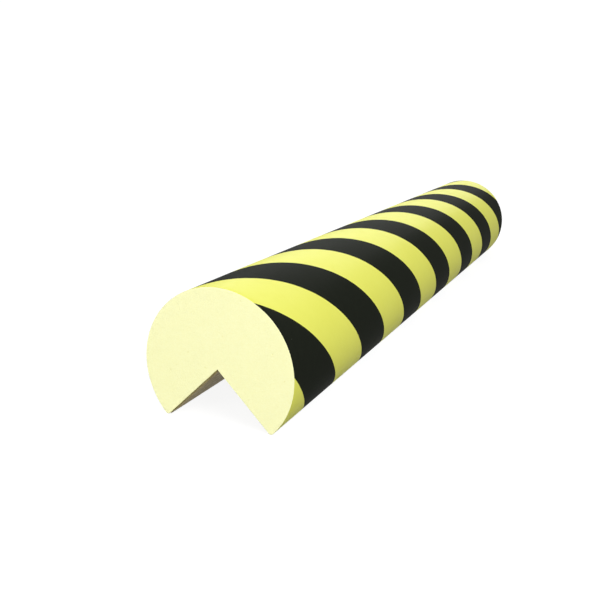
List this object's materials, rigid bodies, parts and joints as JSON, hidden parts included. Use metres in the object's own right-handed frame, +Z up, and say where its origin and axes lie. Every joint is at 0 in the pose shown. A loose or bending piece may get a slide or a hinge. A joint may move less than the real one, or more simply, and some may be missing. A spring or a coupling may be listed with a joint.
{
  "type": "foam corner guard",
  "caption": "Three-quarter-round foam guard with slanted yellow and black warning bands and a self-adhesive right-angled notch, for covering the edge of a rack, post or conveyor frame.",
  "frame": {"origin": "on the floor under the lips, at the middle of the guard's length and width", "axes": "+Y along the guard, +Z up from the lips to the crown, +X across it"},
  "size_m": [0.08, 0.5, 0.0676],
  "materials": {
    "foam": "soft satin polyurethane skin, yellow with black printed bands",
    "tape": "brownish self-adhesive tape",
    "liner": "brown siliconised kraft paper"
  },
  "bodies": {
    "root": {"foam_body": "foam", "tape_left": "tape", "tape_right": "tape", "liner_left": "liner", "liner_right": "liner"}
  },
  "joints": []
}
